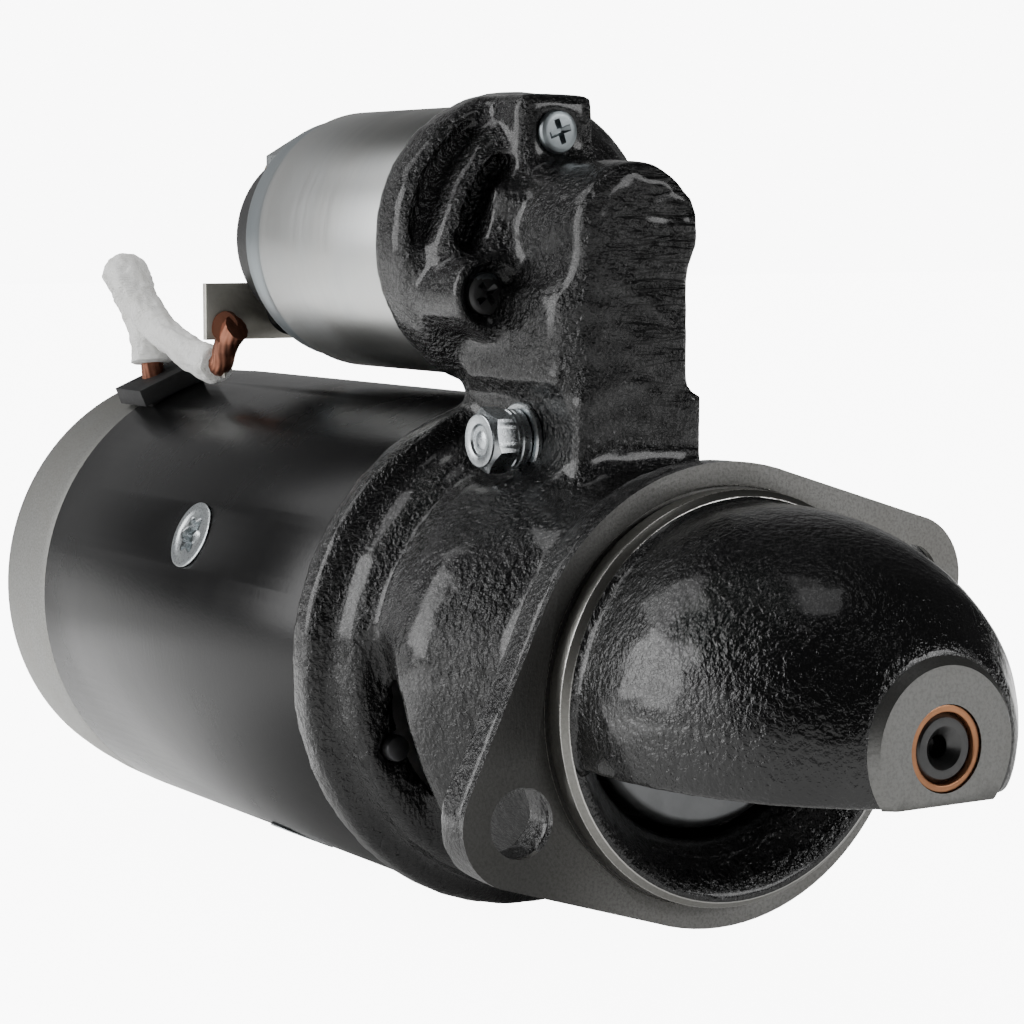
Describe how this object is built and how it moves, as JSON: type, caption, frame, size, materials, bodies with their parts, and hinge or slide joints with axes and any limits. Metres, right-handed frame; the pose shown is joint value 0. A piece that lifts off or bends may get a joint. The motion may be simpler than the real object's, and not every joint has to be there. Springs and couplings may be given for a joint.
{
  "type": "starter motor",
  "caption": "Pre-engaged starter motor: cast nose housing with an eared flange and register, steel yoke, rear cover and a piggyback solenoid that swings a lever to slide the pinion out.",
  "frame": {"origin": "on the shaft axis, in the plane of the mounting flange's front face, at the centre of the register", "axes": "+X along the shaft, from the yoke towards the nose and the pinion's way out; +Z from the shaft up to the solenoid; -Y is the side with the lever pivot's bolt head"},
  "size_m": [0.3403, 0.1288, 0.1904],
  "materials": {
    "black_casting": "gloss black paint over a rough casting",
    "bronze_bush": "sintered bronze",
    "black_yoke": "satin black paint",
    "plain_steel": "machined",
    "dark_steel": "phosphated",
    "zinc_steel": "bright zinc plated",
    "raw_aluminium": "as cast, tumbled",
    "copper": "bare copper",
    "lamination": "stacked laminations",
    "carbon": "pressed carbon",
    "black_cap": "moulded phenolic",
    "tinned_strap": "tinned copper",
    "white_sleeve": "woven glass fibre",
    "black_rubber": "matt",
    "brass_tube": "drawn"
  },
  "bodies": {
    "root": {"drive_end_housing": "black_casting", "nose_bush": "bronze_bush", "centre_bearing_plate": "raw_aluminium", "centre_bush": "bronze_bush", "yoke": "black_yoke", "pole_shoes": "dark_steel", "field_coils": "copper", "pole_screws": "zinc_steel", "rear_cover": "raw_aluminium", "rear_bush": "bronze_bush", "end_cap": "zinc_steel", "end_cap_screws": "zinc_steel", "through_bolts": "zinc_steel", "brush_plate": "brass_tube", "brush_spring_1": "zinc_steel", "brush_spring_2": "zinc_steel", "brush_spring_3": "zinc_steel", "brush_spring_4": "zinc_steel", "pivot_bolt": "zinc_steel", "pivot_washers": "zinc_steel", "pivot_nut": "zinc_steel", "solenoid_case": "zinc_steel", "solenoid_cap": "black_cap", "solenoid_coil": "copper", "coil_tube": "brass_tube", "solenoid_core": "dark_steel", "battery_stud": "copper", "motor_stud": "copper", "trigger_blade": "brass_tube", "stud_nuts": "zinc_steel", "stud_washers": "zinc_steel", "solenoid_screws": "zinc_steel", "terminal_strap": "tinned_strap", "lead_braid": "copper", "lead_sleeve": "white_sleeve", "lead_grommet": "black_rubber", "return_spring": "zinc_steel"},
    "armature": {"armature_shaft": "plain_steel", "armature_core": "lamination", "armature_winding": "copper", "commutator": "copper", "stop_ring": "plain_steel", "stop_circlip": "dark_steel", "thrust_washer": "black_cap"},
    "drive": {"guide_sleeve": "plain_steel", "clutch_drum": "plain_steel", "clutch_cover": "plain_steel", "clutch_rollers": "plain_steel", "engagement_spring": "zinc_steel"},
    "pinion": {"pinion": "plain_steel"},
    "lever": {"shift_lever": "dark_steel"},
    "plunger": {"plunger": "plain_steel", "plunger_hook": "plain_steel"},
    "contact": {"contact_rod": "plain_steel", "contact_disc": "copper"},
    "brush_1": {"brush_1": "carbon"},
    "brush_2": {"brush_2": "carbon"},
    "brush_3": {"brush_3": "carbon"},
    "brush_4": {"brush_4": "carbon"}
  },
  "joints": [
    {"name": "armature_spin", "type": "hinge", "parent": "root", "child": "armature", "pos_m": [-0.15, 0, 0], "axis": [1, 0, 0], "continuous": true},
    {"name": "pinion_engage", "type": "slide", "parent": "armature", "child": "drive", "axis": [1, 0, 0], "range_m": [0, 0.02], "stiffness_N_per_m": 1200, "springref_m": -0.008},
    {"name": "pinion_overrun", "type": "hinge", "parent": "drive", "child": "pinion", "pos_m": [0.01, 0, 0], "axis": [1, 0, 0], "continuous": true},
    {"name": "lever_swing", "type": "hinge", "parent": "root", "child": "lever", "pos_m": [-0.054, 0, 0.052], "axis": [0, 1, 0], "range_deg": [-22, 0]},
    {"name": "plunger_pull", "type": "slide", "parent": "root", "child": "plunger", "axis": [-1, 0, 0], "range_m": [0, 0.0168], "deforming": ["return_spring"]},
    {"name": "contact_close", "type": "slide", "parent": "root", "child": "contact", "axis": [-1, 0, 0], "range_m": [0, 0.0031]},
    {"name": "brush_lift_1", "type": "slide", "parent": "root", "child": "brush_1", "axis": [0, 0.4067, 0.9135], "range_m": [0, 0.003], "stiffness_N_per_m": 600, "springref_m": -0.006, "deforming": ["brush_spring_1"]},
    {"name": "brush_lift_2", "type": "slide", "parent": "root", "child": "brush_2", "axis": [0, -0.9135, 0.4067], "range_m": [0, 0.003], "deforming": ["brush_spring_2"]},
    {"name": "brush_lift_3", "type": "slide", "parent": "root", "child": "brush_3", "axis": [0, -0.4067, -0.9135], "range_m": [0, 0.003], "deforming": ["brush_spring_3"]},
    {"name": "brush_lift_4", "type": "slide", "parent": "root", "child": "brush_4", "axis": [0, 0.9135, -0.4067], "range_m": [0, 0.003], "deforming": ["brush_spring_4"]}
  ],
  "couplings": [
    {"joint": "lever_swing", "follows": "pinion_engage", "rad_per_m": -18.999},
    {"joint": "plunger_pull", "follows": "pinion_engage", "ratio": 0.83654},
    {"joint": "contact_close", "follows": "pinion_engage", "ratio": 0.15},
    {"joint": "brush_lift_2", "follows": "brush_lift_1", "ratio": 1},
    {"joint": "brush_lift_3", "follows": "brush_lift_1", "ratio": 1},
    {"joint": "brush_lift_4", "follows": "brush_lift_1", "ratio": 1}
  ]
}
